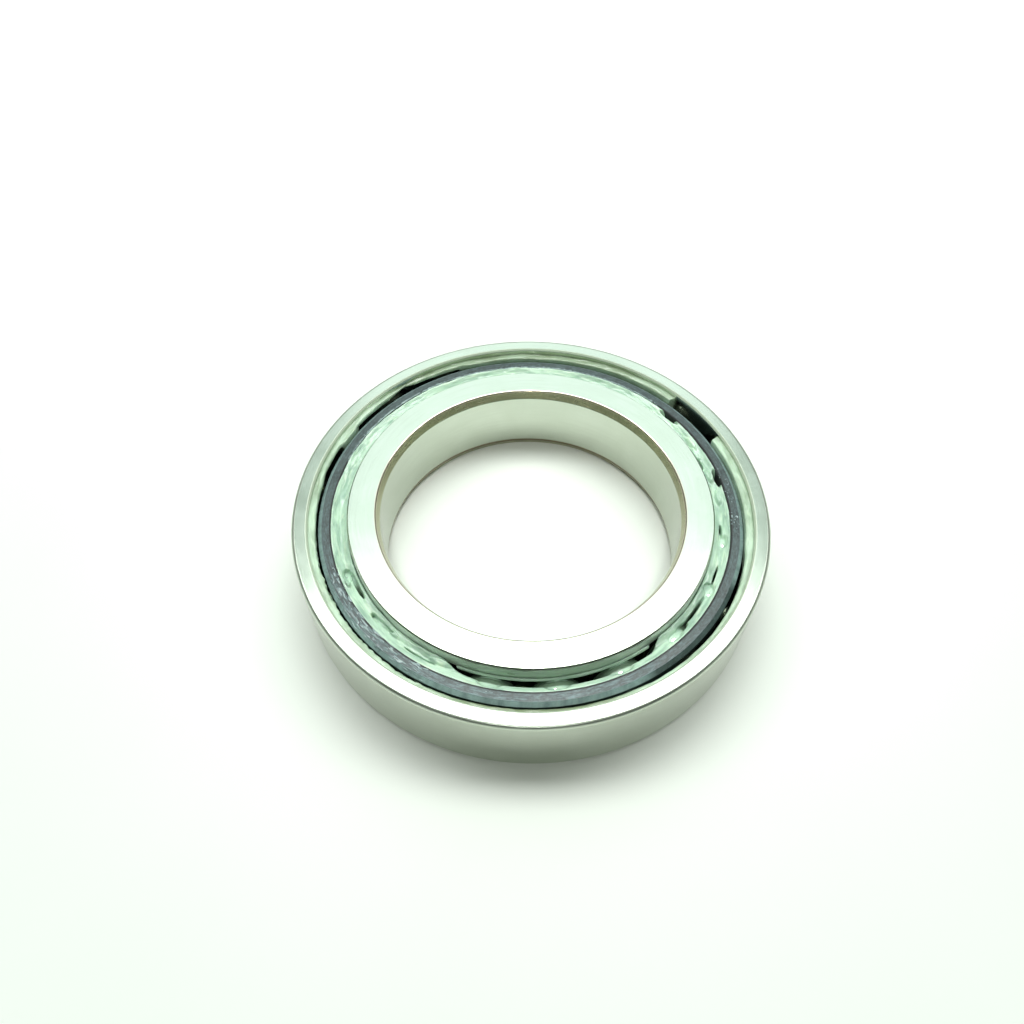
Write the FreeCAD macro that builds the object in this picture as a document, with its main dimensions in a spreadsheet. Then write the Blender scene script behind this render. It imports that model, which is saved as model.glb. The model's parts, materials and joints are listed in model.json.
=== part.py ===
import FreeCAD, Part
import math
import os

import Sketcher

# Single-row angular contact ball bearing, ISO dimension series 10:
# bore 70 mm, outside diameter 110 mm, width 20 mm.
#
# The frame: +Z is the bearing's axis, the origin is the centre of the bore at
# mid-width.  +Z points to the front of the outer ring, which is its thin,
# counterbored side; the thick thrust shoulder of the outer ring is at -Z.

OUT = "parts"
BALLS = 20

doc = FreeCAD.newDocument("angular_contact_bearing")

# ---------------------------------------------------------------- sizes (mm)
SIZES = [
    # alias, value, what it is
    ("bore_dia", 70.0, "bore of the inner ring"),
    ("outside_dia", 110.0, "outside diameter of the outer ring"),
    ("width_all", 20.0, "width of both rings"),
    ("ball_dia", 11.906, "15/32 inch ball"),
    ("pitch_dia", 90.0, "pitch circle of the balls"),
    ("contact_angle", 25.0, "contact angle in degrees"),
    ("race_factor", 0.52, "groove radius over ball diameter"),
    ("race_play", 0.06, "gap left between a ball and each groove"),
    # inner ring
    ("inner_land_dia", 84.9, "thrust shoulder of the inner ring, at the front"),
    ("inner_back_land_dia", 82.8, "low shoulder of the inner ring, at the back"),
    ("bore_cham_rad", 0.9, "bore chamfer, radially"),
    ("bore_cham_axial", 2.2, "bore chamfer, axially"),
    ("land_cham", 0.3, "chamfer of the ground lands"),
    # outer ring
    ("outer_land_dia", 97.2, "thrust shoulder of the outer ring, at the back"),
    ("counterbore_lip_dia", 101.8, "counterbore where it meets the groove"),
    ("counterbore_face_dia", 102.6, "counterbore at the front"),
    ("counterbore_cham", 0.35, "chamfer of the counterbore at the front face"),
    ("front_corner", 0.9, "outside corner radius at the front"),
    ("back_corner", 1.5, "outside corner radius at the back"),
    ("lip_height", 0.5, "half height of the blank's step inside the groove"),
    ("land_round", 0.15, "edge round where a shoulder meets its groove"),
    ("back_land_cham", 0.6, "chamfer of the thrust shoulder at the back face"),
    # cage
    ("cage_in_dia", 92.6, "inside of the cage"),
    ("cage_out_dia", 98.7, "outside of the cage over the pockets"),
    ("cage_guide_dia", 96.7, "guided outside of the cage, in the thrust shoulder"),
    ("cage_width", 16.0, "width of the cage"),
    ("cage_bevel_rad", 0.9, "front bevel of the cage, radially"),
    ("cage_bevel_axial", 0.8, "front bevel of the cage, axially"),
    ("cage_back_cham", 0.35, "back chamfer of the cage"),
    ("cage_in_cham", 0.2, "chamfer of the cage's inside"),
    ("cage_step_hi", 2.4, "start of the step, below mid-width"),
    ("cage_step_lo", 3.7, "end of the step, below mid-width"),
    ("pocket_dia", 12.26, "ball pocket"),
    ("ball_phase", 6.44, "angle of the first ball from +X, in degrees"),
]
sheet = doc.addObject("Spreadsheet::Sheet", "Sizes")
sheet.set("A1", "name")
sheet.set("B1", "value")
sheet.set("C1", "what it is")
for row, (alias, value, words) in enumerate(SIZES, start=2):
    sheet.set("A%d" % row, alias)
    sheet.set("B%d" % row, repr(value))
    sheet.set("C%d" % row, words)
    sheet.setAlias("B%d" % row, alias)
doc.recompute()

class Size:
    """A length that knows its number and the sheet expression that gives it."""

    def __init__(self, text, number):
        self.text = text
        self.number = float(number)

    @staticmethod
    def of(other):
        return other if isinstance(other, Size) else Size(repr(float(other)), other)

    def join(self, sign, other, number):
        return Size("(%s %s %s)" % (self.text, sign, other.text), number)

    def __add__(self, other):
        other = Size.of(other)
        return self.join("+", other, self.number + other.number)

    def __sub__(self, other):
        other = Size.of(other)
        return self.join("-", other, self.number - other.number)

    def __mul__(self, other):
        other = Size.of(other)
        return self.join("*", other, self.number * other.number)

    def __truediv__(self, other):
        other = Size.of(other)
        return self.join("/", other, self.number / other.number)

    def __neg__(self):
        return Size("(0 - %s)" % self.text, -self.number)


S = {alias: Size("Sizes." + alias, value) for alias, value, _ in SIZES}
ZERO = Size("0", 0)
HALF = S["width_all"] / 2


def plane(body, role):
    for feature in body.Origin.OriginFeatures:
        if feature.Role == role:
            return feature
    raise RuntimeError("no plane " + role)


def new_sketch(body, name, role="XZ_Plane"):
    sketch = body.newObject("Sketcher::SketchObject", name)
    sketch.AttachmentSupport = [(plane(body, role), "")]
    sketch.MapMode = "FlatFace"
    return sketch


def pin(sketch, geo, point, name, x, y):
    """Ties a sketch point to the two axes by sizes read from the sheet."""
    for kind, tail, size in (("DistanceX", "_x", x), ("DistanceY", "_y", y)):
        i = sketch.addConstraint(
            Sketcher.Constraint(kind, -1, 1, geo, point, size.number))
        sketch.renameConstraint(i, name + tail)
        sketch.setExpression("Constraints." + name + tail, size.text)


def profile(body, name, corners):
    """A closed outline of straight edges; each corner is tied to the sheet."""
    sketch = new_sketch(body, name)
    pts = [FreeCAD.Vector(x.number, y.number, 0) for x, y in corners]
    count = len(pts)
    for k in range(count):
        sketch.addGeometry(Part.LineSegment(pts[k], pts[(k + 1) % count]), False)
    for k in range(count):
        sketch.addConstraint(
            Sketcher.Constraint("Coincident", k, 2, (k + 1) % count, 1))
    for k, (x, y) in enumerate(corners):
        pin(sketch, k, 1, "c%02d" % k, x, y)
    return sketch


def circle(body, name, x, y, radius, role="XZ_Plane"):
    sketch = new_sketch(body, name, role)
    sketch.addGeometry(
        Part.Circle(FreeCAD.Vector(x.number, y.number, 0),
                    FreeCAD.Vector(0, 0, 1), radius.number), False)
    if x is not ZERO:
        pin(sketch, 0, 3, "centre", x, y)
    else:
        sketch.addConstraint(Sketcher.Constraint("Coincident", 0, 3, -1, 1))
    i = sketch.addConstraint(Sketcher.Constraint("Radius", 0, radius.number))
    sketch.renameConstraint(i, "radius")
    sketch.setExpression("Constraints.radius", radius.text)
    return sketch


def turned(body, name, sketch, kind="PartDesign::Revolution"):
    feature = body.newObject(kind, name)
    feature.Profile = sketch
    feature.ReferenceAxis = (sketch, ["V_Axis"])
    feature.Angle = 360.0
    sketch.Visibility = False
    doc.recompute()
    return feature


def ring_edges(shape, radius, z, tol=1e-3):
    """Names of the full circles of that radius and height about the axis."""
    found = []
    for i, edge in enumerate(shape.Edges, start=1):
        curve = edge.Curve
        if (curve.TypeId == "Part::GeomCircle"
                and abs(curve.Radius - radius) < tol
                and abs(curve.Center.z - z) < tol
                and abs(curve.Center.x) < tol and abs(curve.Center.y) < tol):
            found.append("Edge%d" % i)
    if not found:
        raise RuntimeError("no ring edge at r %.3f z %.3f" % (radius, z))
    return found


def rounded(body, name, base, edges, radius):
    feature = body.newObject("PartDesign::Fillet", name)
    feature.Base = (base, edges)
    feature.setExpression("Radius", "Sizes." + radius)
    doc.recompute()
    return feature


# Groove centres.  A ball touches the outer groove below mid-width and the
# inner groove above it, on one line at the contact angle.
GROOVE = S["race_factor"] * S["ball_dia"]
LEAD = GROOVE - S["ball_dia"] / 2 - S["race_play"]
COS = Size("cos(Sizes.contact_angle * 1 deg)",
           math.cos(math.radians(S["contact_angle"].number)))
SIN = Size("sin(Sizes.contact_angle * 1 deg)",
           math.sin(math.radians(S["contact_angle"].number)))
PITCH = S["pitch_dia"] / 2


# ------------------------------------------------------------- outer ring
outer = doc.addObject("PartDesign::Body", "outer_ring_body")
outer.Label = "outer_ring"
land = S["outer_land_dia"] / 2
rim = S["outside_dia"] / 2
front = S["counterbore_face_dia"] / 2
blank = profile(outer, "outer_blank", [
    (land + S["back_land_cham"], -HALF),
    (rim, -HALF),
    (rim, HALF),
    (front + S["counterbore_cham"], HALF),
    (front, HALF - S["counterbore_cham"]),
    (S["counterbore_lip_dia"] / 2, S["lip_height"]),
    (land, -S["lip_height"]),
    (land, S["back_land_cham"] - HALF),
])
turned(outer, "outer_turned", blank)
race = circle(outer, "outer_race", PITCH - LEAD * COS, LEAD * SIN, GROOVE)
cut = turned(outer, "outer_groove", race, "PartDesign::Groove")
reach = (LEAD * SIN).number - math.sqrt(
    GROOVE.number ** 2 - (land.number - (PITCH - LEAD * COS).number) ** 2)
cut = rounded(outer, "outer_land_round", cut,
              ring_edges(cut.Shape, land.number, reach), "land_round")
cut = rounded(outer, "outer_front_corner", cut,
              ring_edges(cut.Shape, rim.number, HALF.number), "front_corner")
rounded(outer, "outer_back_corner", cut,
        ring_edges(cut.Shape, rim.number, -HALF.number), "back_corner")

# ------------------------------------------------------------- inner ring
inner = doc.addObject("PartDesign::Body", "inner_ring_body")
inner.Label = "inner_ring"
land = S["inner_land_dia"] / 2
back = S["inner_back_land_dia"] / 2
bore = S["bore_dia"] / 2
blank = profile(inner, "inner_blank", [
    (bore + S["bore_cham_rad"], -HALF),
    (back - S["land_cham"], -HALF),
    (back, S["land_cham"] - HALF),
    (back, ZERO),
    (land, ZERO),
    (land, HALF - S["land_cham"]),
    (land - S["land_cham"], HALF),
    (bore + S["bore_cham_rad"], HALF),
    (bore, HALF - S["bore_cham_axial"]),
    (bore, S["bore_cham_axial"] - HALF),
])
turned(inner, "inner_turned", blank)
race = circle(inner, "inner_race", PITCH + LEAD * COS, -(LEAD * SIN), GROOVE)
cut = turned(inner, "inner_groove", race, "PartDesign::Groove")
centre = (PITCH + LEAD * COS).number
middle = -(LEAD * SIN).number
high = middle + math.sqrt(GROOVE.number ** 2 - (land.number - centre) ** 2)
low = middle - math.sqrt(GROOVE.number ** 2 - (back.number - centre) ** 2)
rounded(inner, "inner_land_round", cut,
        ring_edges(cut.Shape, land.number, high)
        + ring_edges(cut.Shape, back.number, low), "land_round")

# ------------------------------------------------------------------- cage
cage = doc.addObject("PartDesign::Body", "cage_body")
cage.Label = "cage"
end = S["cage_width"] / 2
inside = S["cage_in_dia"] / 2
outside = S["cage_out_dia"] / 2
guided = S["cage_guide_dia"] / 2
blank = profile(cage, "cage_blank", [
    (inside + S["cage_in_cham"], -end),
    (guided - S["cage_back_cham"], -end),
    (guided, S["cage_back_cham"] - end),
    (guided, -S["cage_step_lo"]),
    (outside, -S["cage_step_hi"]),
    (outside, end - S["cage_bevel_axial"]),
    (outside - S["cage_bevel_rad"], end),
    (inside + S["cage_in_cham"], end),
    (inside, end - S["cage_in_cham"]),
    (inside, S["cage_in_cham"] - end),
])
ring = turned(cage, "cage_turned", blank)
full = ring.Shape.Volume
hole = circle(cage, "pocket_outline", ZERO, ZERO, S["pocket_dia"] / 2, "YZ_Plane")
pocket = cage.newObject("PartDesign::Pocket", "pocket")
pocket.Profile = hole
pocket.Type = 0
pocket.Length = 60.0
pocket.Reversed = True
hole.Visibility = False
doc.recompute()
one = full - pocket.Shape.Volume
if one < 100:
    raise RuntimeError("the pocket cut nothing")
pattern = cage.newObject("PartDesign::PolarPattern", "pockets")
pattern.Originals = [pocket]
for feature in cage.Origin.OriginFeatures:
    if feature.Role == "Z_Axis":
        pattern.Axis = (feature, [""])
pattern.Angle = 360.0
pattern.Occurrences = BALLS
cage.Tip = pattern
doc.recompute()
cutaway = full - pattern.Shape.Volume
if abs(cutaway - BALLS * one) > 0.01 * BALLS * one:
    raise RuntimeError("the pockets are not all cut: %.1f against %.1f"
                       % (cutaway, BALLS * one))

# the whole cage is turned about the axis, so that its pockets meet the balls
cage.Placement = FreeCAD.Placement(
    FreeCAD.Vector(0, 0, 0), FreeCAD.Rotation(FreeCAD.Vector(0, 0, 1), 1.0))
cage.setExpression(".Placement.Rotation.Angle", "Sizes.ball_phase * 1 deg")

# ------------------------------------------------------------------ balls
balls = []
for k in range(BALLS):
    turn = 360.0 / BALLS * k
    ball = doc.addObject("Part::Sphere", "ball_%02d_solid" % (k + 1))
    ball.Label = "ball_%02d" % (k + 1)
    ball.setExpression("Radius", "Sizes.ball_dia / 2")
    ball.setExpression(".Placement.Base.x",
                       "Sizes.pitch_dia / 2 * cos((Sizes.ball_phase + %r) * 1 deg)" % turn)
    ball.setExpression(".Placement.Base.y",
                       "Sizes.pitch_dia / 2 * sin((Sizes.ball_phase + %r) * 1 deg)" % turn)
    balls.append(ball)
doc.recompute()

# ----------------------------------------------------------------- checks
for obj in doc.Objects:
    bad = [s for s in obj.State if s in ("Invalid", "Error")]
    if bad:
        raise RuntimeError("%s is %s" % (obj.Label, bad))

subparts = [outer, inner, cage] + balls
for obj in subparts:
    shape = obj.Shape
    if shape.isNull() or not shape.isValid() or shape.Volume <= 0:
        raise RuntimeError(obj.Label + " has no sound solid")
    if len(shape.Solids) != 1:
        raise RuntimeError("%s has %d solids" % (obj.Label, len(shape.Solids)))

# every ball sits clear of both rings and of its pocket
for obj in (outer, inner, cage):
    gap = obj.Shape.distToShape(balls[0].Shape)[0]
    print("gap from a ball to the %s: %.3f mm" % (obj.Label, gap))
    if gap < 0.04:
        raise RuntimeError("ball too close to " + obj.Label)
    if obj is cage and abs(gap - cage.Shape.distToShape(balls[7].Shape)[0]) > 0.01:
        raise RuntimeError("the pockets and the balls are not in line")
for obj in (outer, inner):
    gap = obj.Shape.distToShape(cage.Shape)[0]
    print("gap from the cage to the %s: %.3f mm" % (obj.Label, gap))

os.makedirs(OUT, exist_ok=True)
for obj in subparts:
    obj.Shape.exportStep(os.path.join(OUT, obj.Label + ".step"))
    box = obj.Shape.BoundBox
    print("%-12s volume %9.1f mm3  z %.2f..%.2f  x %.2f..%.2f" % (
        obj.Label, obj.Shape.Volume, box.ZMin, box.ZMax, box.XMin, box.XMax))
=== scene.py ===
import json
import math

import bmesh
import bpy
import numpy as np
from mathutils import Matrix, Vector


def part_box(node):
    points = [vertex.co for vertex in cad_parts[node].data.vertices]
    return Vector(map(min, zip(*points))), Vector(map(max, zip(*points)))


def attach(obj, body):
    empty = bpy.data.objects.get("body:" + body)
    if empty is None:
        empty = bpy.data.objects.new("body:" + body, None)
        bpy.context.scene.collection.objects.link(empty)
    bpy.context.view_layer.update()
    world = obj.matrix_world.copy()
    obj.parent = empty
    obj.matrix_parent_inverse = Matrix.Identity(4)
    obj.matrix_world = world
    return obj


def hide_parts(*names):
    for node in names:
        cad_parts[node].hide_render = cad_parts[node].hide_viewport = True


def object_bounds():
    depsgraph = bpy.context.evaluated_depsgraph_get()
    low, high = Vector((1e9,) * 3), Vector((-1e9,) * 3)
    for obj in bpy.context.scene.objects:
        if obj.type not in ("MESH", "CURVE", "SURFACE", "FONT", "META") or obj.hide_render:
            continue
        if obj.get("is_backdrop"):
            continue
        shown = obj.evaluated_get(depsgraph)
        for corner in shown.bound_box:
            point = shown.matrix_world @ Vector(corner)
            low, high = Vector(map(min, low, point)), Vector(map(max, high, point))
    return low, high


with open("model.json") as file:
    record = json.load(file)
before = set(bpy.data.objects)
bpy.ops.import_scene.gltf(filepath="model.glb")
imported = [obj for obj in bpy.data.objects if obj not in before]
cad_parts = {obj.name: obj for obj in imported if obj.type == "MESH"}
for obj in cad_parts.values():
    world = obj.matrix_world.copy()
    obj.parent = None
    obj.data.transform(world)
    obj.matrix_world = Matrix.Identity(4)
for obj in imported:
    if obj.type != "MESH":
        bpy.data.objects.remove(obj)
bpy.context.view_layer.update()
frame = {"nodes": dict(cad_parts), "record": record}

MM = 0.001
TAU = 2 * math.pi
BALLS = sorted(n for n in frame["nodes"] if n.startswith("ball_"))


# ----------------------------------------------------------- sizes from the frame (mm)
def span(node):
    lo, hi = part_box(node)
    return [v / MM for v in lo], [v / MM for v in hi]


o_lo, o_hi = span("outer_ring")
i_lo, i_hi = span("inner_ring")
c_lo, c_hi = span("cage")
TOP = o_hi[2]                                   # front faces
BOTTOM = o_lo[2]                                # back faces, which lie on the floor
R_OUT = round(max(o_hi[0], o_hi[1], -o_lo[0], -o_lo[1]) * 2) / 2      # 55
CAGE_TOP = c_hi[2]
CAGE_BOTTOM = c_lo[2]
R_CAGE = round(max(c_hi[0], -c_lo[0], c_hi[1], -c_lo[1]) * 20) / 20   # 49.35
mount = {m["name"]: m for m in frame["record"]["mounts"]}
R_BORE = mount["bore"]["dims"]["r_mm"]
R_LAND = 42.45                                  # thrust shoulder of the inner ring
R_LAND_BACK = 41.4
R_CAGE_IN = 46.3
R_CAGE_GUIDE = 48.35
R_LIP, R_COUNTER = 50.9, 51.3
R_THRUST = 48.6
centres = []
for name in BALLS:
    lo, hi = span(name)
    centres.append([(a + b) / 2 for a, b in zip(lo, hi)])
centres = np.array(centres)
R_BALL = float(np.mean([(span(n)[1][2] - span(n)[0][2]) / 2 for n in BALLS[:1]]))
PITCH = float(np.hypot(centres[:, 0], centres[:, 1]).mean())
PHASE = math.atan2(centres[0, 1], centres[0, 0])
COUNT = len(BALLS)
SECTOR = TAU / COUNT


# --------------------------------------------------------------- seeded gradient noise
class Noise:
    """Classic gradient noise on a 256 lattice; the same seed gives the same field."""

    GRAD = np.array([[1, 1, 0], [-1, 1, 0], [1, -1, 0], [-1, -1, 0],
                     [1, 0, 1], [-1, 0, 1], [1, 0, -1], [-1, 0, -1],
                     [0, 1, 1], [0, -1, 1], [0, 1, -1], [0, -1, -1]], np.float32)

    def __init__(self, seed):
        p = np.random.default_rng(seed).permutation(256)
        self.p = np.concatenate([p, p]).astype(np.int32)

    def __call__(self, x, y, z):
        x, y, z = np.broadcast_arrays(np.float32(x), np.float32(y), np.float32(z))
        xi, yi, zi = np.floor(x), np.floor(y), np.floor(z)
        fx, fy, fz = x - xi, y - yi, z - zi
        xi, yi, zi = (a.astype(np.int32) & 255 for a in (xi, yi, zi))
        ux, uy, uz = (f * f * f * (f * (f * 6 - 15) + 10) for f in (fx, fy, fz))
        p, total = self.p, 0
        for dx in (0, 1):
            for dy in (0, 1):
                for dz in (0, 1):
                    g = self.GRAD[p[p[p[xi + dx] + yi + dy] + zi + dz] % 12]
                    dot = (g[..., 0] * (fx - dx) + g[..., 1] * (fy - dy)
                           + g[..., 2] * (fz - dz))
                    w = ((ux if dx else 1 - ux) * (uy if dy else 1 - uy)
                         * (uz if dz else 1 - uz))
                    total = total + w * dot
        return total

    def fbm(self, x, y, z, octaves=3, gain=0.5):
        total, amp, f = 0, 1.0, 1.0
        for k in range(octaves):
            total = total + amp * self(x * f + 17.3 * k, y * f + 5.1 * k, z * f + 9.7 * k)
            amp, f = amp * gain, f * 2.03
        return total


def smooth(a, b, x):
    t = np.clip((x - a) / (b - a), 0, 1)
    return t * t * (3 - 2 * t)


def table(rows, deg):
    """Values given round the ring as (degrees, value), read smoothly and without a seam."""
    rows = sorted(rows)
    x = [r[0] for r in rows]
    v = [r[1] for r in rows]
    x = [x[-1] - 360] + x + [x[0] + 360]
    v = [v[-1]] + v + [v[0]]
    return np.interp(np.mod(deg, 360), x, v)


def smin(a, b, k=0.12):
    """The lower of two fields, with a rounded join."""
    h = np.clip(0.5 + 0.5 * (b - a) / k, 0, 1)
    return b * (1 - h) + a * h - k * h * (1 - h)


def smax(a, b, k=0.12):
    return -smin(-a, -b, k)


# ------------------------------------------------------------------------ mesh helpers
def new_object(name, verts, faces, material, values=None):
    me = bpy.data.meshes.new(name)
    verts = np.asarray(verts, float) * MM
    me.from_pydata(verts.tolist(), [], [tuple(f) for f in faces])
    me.validate()
    # outward normals: the signed volume is positive
    co = verts
    volume = 0.0
    f = np.asarray([q for q in faces if len(q) == 4])
    if len(f):
        a, b, c, d = (co[f[:, k]] for k in range(4))
        volume += np.einsum("ij,ij->", a, np.cross(b, c)) + np.einsum(
            "ij,ij->", a, np.cross(c, d))
    if volume < 0:
        me.flip_normals()
    me.polygons.foreach_set("use_smooth", [True] * len(me.polygons))
    for key, data in (values or {}).items():
        att = me.attributes.new(key, "FLOAT", "POINT")
        att.data.foreach_set("value", np.asarray(data, np.float32))
    me.update()
    ob = bpy.data.objects.new(name, me)
    bpy.context.scene.collection.objects.link(ob)
    if material:
        me.materials.append(material)
    return ob


def fillet(points):
    """A closed outline from (r, z, radius, zone) corners; each corner is turned with an arc,
    with a support point just past each end of it. Returns (r, z, line) rows, the third marking an
    edge line; an arc's own points carry 1, for a lighter line on the edge that is partly wear and partly
    painted highlight, unless the corner gives its own."""
    out = []
    n = len(points)
    for k in range(n):
        p0 = np.array(points[k - 1][:2], float)
        p1 = np.array(points[k][:2], float)
        p2 = np.array(points[(k + 1) % n][:2], float)
        rad = points[k][2]
        zone = 0.0
        edge_line = points[k][3] if len(points[k]) > 3 else 1.0
        if rad <= 0:
            out.append((p1[0], p1[1], zone))
            continue
        u, v = p0 - p1, p2 - p1
        lu, lv = np.linalg.norm(u), np.linalg.norm(v)
        u, v = u / lu, v / lv
        cosang = float(np.clip(u @ v, -1, 1))
        half = math.acos(cosang) / 2
        if half > math.radians(88):
            out.append((p1[0], p1[1], zone))
            continue
        t = min(rad / math.tan(half), 0.42 * lu, 0.42 * lv)
        r = t * math.tan(half)
        a, b = p1 + u * t, p1 + v * t
        centre = p1 + (u + v) / np.linalg.norm(u + v) * (r / math.sin(half))
        s = min(0.06, 0.05 * min(lu, lv) + 0.01)
        out.append((*(a + u * s), zone))
        a0, b0 = a - centre, b - centre
        turn = math.acos(float(np.clip(a0 @ b0 / (r * r), -1, 1)))
        steps = max(3, int(math.degrees(turn) / 8) + 1)
        sign = 1 if (a0[0] * b0[1] - a0[1] * b0[0]) > 0 else -1
        for i in range(steps + 1):
            ang = sign * turn * i / steps
            c, sn = math.cos(ang), math.sin(ang)
            q = centre + np.array([a0[0] * c - a0[1] * sn, a0[0] * sn + a0[1] * c])
            out.append((q[0], q[1], edge_line))
        out.append((*(b + v * s), zone))
    return out


def lathe(name, outline, material, steps=720):
    rz = np.array([(a, b) for a, b, _ in outline])
    zone = np.array([z for _, _, z in outline])
    m = len(rz)
    ang = np.arange(steps) / steps * TAU
    x = np.outer(np.cos(ang), rz[:, 0])
    y = np.outer(np.sin(ang), rz[:, 0])
    z = np.broadcast_to(rz[:, 1], x.shape)
    verts = np.stack([x, y, z], -1).reshape(-1, 3)
    i, j = np.meshgrid(np.arange(steps), np.arange(m), indexing="ij")
    i2, j2 = (i + 1) % steps, (j + 1) % m
    faces = np.stack([i * m + j, i * m + j2, i2 * m + j2, i2 * m + j], -1).reshape(-1, 4)
    return new_object(name, verts, faces, material,
                      {"edge": np.tile(zone, steps)})


def arc(cx, cz, rad, a0, a1, n):
    return [(cx + rad * math.cos(a), cz + rad * math.sin(a), 0, 0.0)
            for a in np.linspace(a0, a1, n)]


# --------------------------------------------------------------------------- materials
class Nodes:
    """Short-hand for building a material's node tree."""

    def __init__(self, name):
        self.mat = bpy.data.materials.new(name)
        self.mat.use_nodes = True
        self.tree = self.mat.node_tree
        self.tree.nodes.clear()
        self.out = self.add("ShaderNodeOutputMaterial")
        self.bsdf = self.add("ShaderNodeBsdfPrincipled")
        self.link(self.bsdf.outputs[0], self.out.inputs["Surface"])
        self.x = 0
        geo = self.add("ShaderNodeTexCoord")
        self.pos = geo.outputs["Object"]

    def add(self, kind, **values):
        node = self.tree.nodes.new(kind)
        for key, value in values.items():
            setattr(node, key, value)
        return node

    def link(self, a, b):
        self.tree.links.new(a, b)

    def set(self, **values):
        for key, value in values.items():
            socket = self.bsdf.inputs[key.replace("_", " ")]
            if hasattr(value, "is_output"):
                self.link(value, socket)
            else:
                socket.default_value = value

    def _in(self, node, index, value):
        if hasattr(value, "is_output"):
            self.link(value, node.inputs[index])
        else:
            node.inputs[index].default_value = value

    def math(self, op, a, b=0.0, c=None, clamp=False):
        node = self.add("ShaderNodeMath", operation=op, use_clamp=clamp)
        self._in(node, 0, a)
        self._in(node, 1, b)
        if c is not None:
            self._in(node, 2, c)
        return node.outputs[0]

    def vec(self, x, y, z):
        node = self.add("ShaderNodeCombineXYZ")
        self._in(node, 0, x)
        self._in(node, 1, y)
        self._in(node, 2, z)
        return node.outputs[0]

    def xyz(self, v=None):
        node = self.add("ShaderNodeSeparateXYZ")
        self.link(v or self.pos, node.inputs[0])
        return node.outputs

    def noise(self, vector, scale, detail=3.0, rough=0.5, distort=0.0):
        node = self.add("ShaderNodeTexNoise")
        self.link(vector, node.inputs["Vector"])
        node.inputs["Scale"].default_value = scale
        node.inputs["Detail"].default_value = detail
        node.inputs["Roughness"].default_value = rough
        node.inputs["Distortion"].default_value = distort
        return node.outputs["Fac"]

    def voronoi(self, vector, scale, feature="F1"):
        node = self.add("ShaderNodeTexVoronoi", feature=feature)
        self.link(vector, node.inputs["Vector"])
        node.inputs["Scale"].default_value = scale
        return node.outputs["Distance"]

    def ramp(self, value, lo, hi, a=0.0, b=1.0):
        node = self.add("ShaderNodeMapRange", clamp=True)
        self._in(node, 0, value)
        for k, v in enumerate((lo, hi, a, b), start=1):
            self._in(node, k, v)
        return node.outputs[0]

    def mix(self, fac, a, b):
        node = self.add("ShaderNodeMix", data_type="RGBA")
        self._in(node, 0, fac)
        self._in(node, 6, a)
        self._in(node, 7, b)
        return node.outputs[2]

    def attribute(self, name):
        node = self.add("ShaderNodeAttribute", attribute_name=name)
        return node.outputs["Fac"]

    def bump(self, height, strength, distance, normal=None):
        node = self.add("ShaderNodeBump")
        self._in(node, "Height", height)
        node.inputs["Strength"].default_value = strength
        node.inputs["Distance"].default_value = distance
        if normal is not None:
            self.link(normal, node.inputs["Normal"])
        return node.outputs[0]


def rgb(r, g, b):
    return (r, g, b, 1.0)


def polar(n):
    """(radius in mm, z in mm, unit x, unit y) sockets for a piece about the bearing's axis."""
    p = n.xyz()
    mm = [n.math("MULTIPLY", p[k], 1000.0) for k in range(3)]
    r = n.math("SQRT", n.math("ADD", n.math("MULTIPLY", mm[0], mm[0]),
                              n.math("MULTIPLY", mm[1], mm[1])))
    return r, mm[2], n.math("DIVIDE", mm[0], r), n.math("DIVIDE", mm[1], r)


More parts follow.
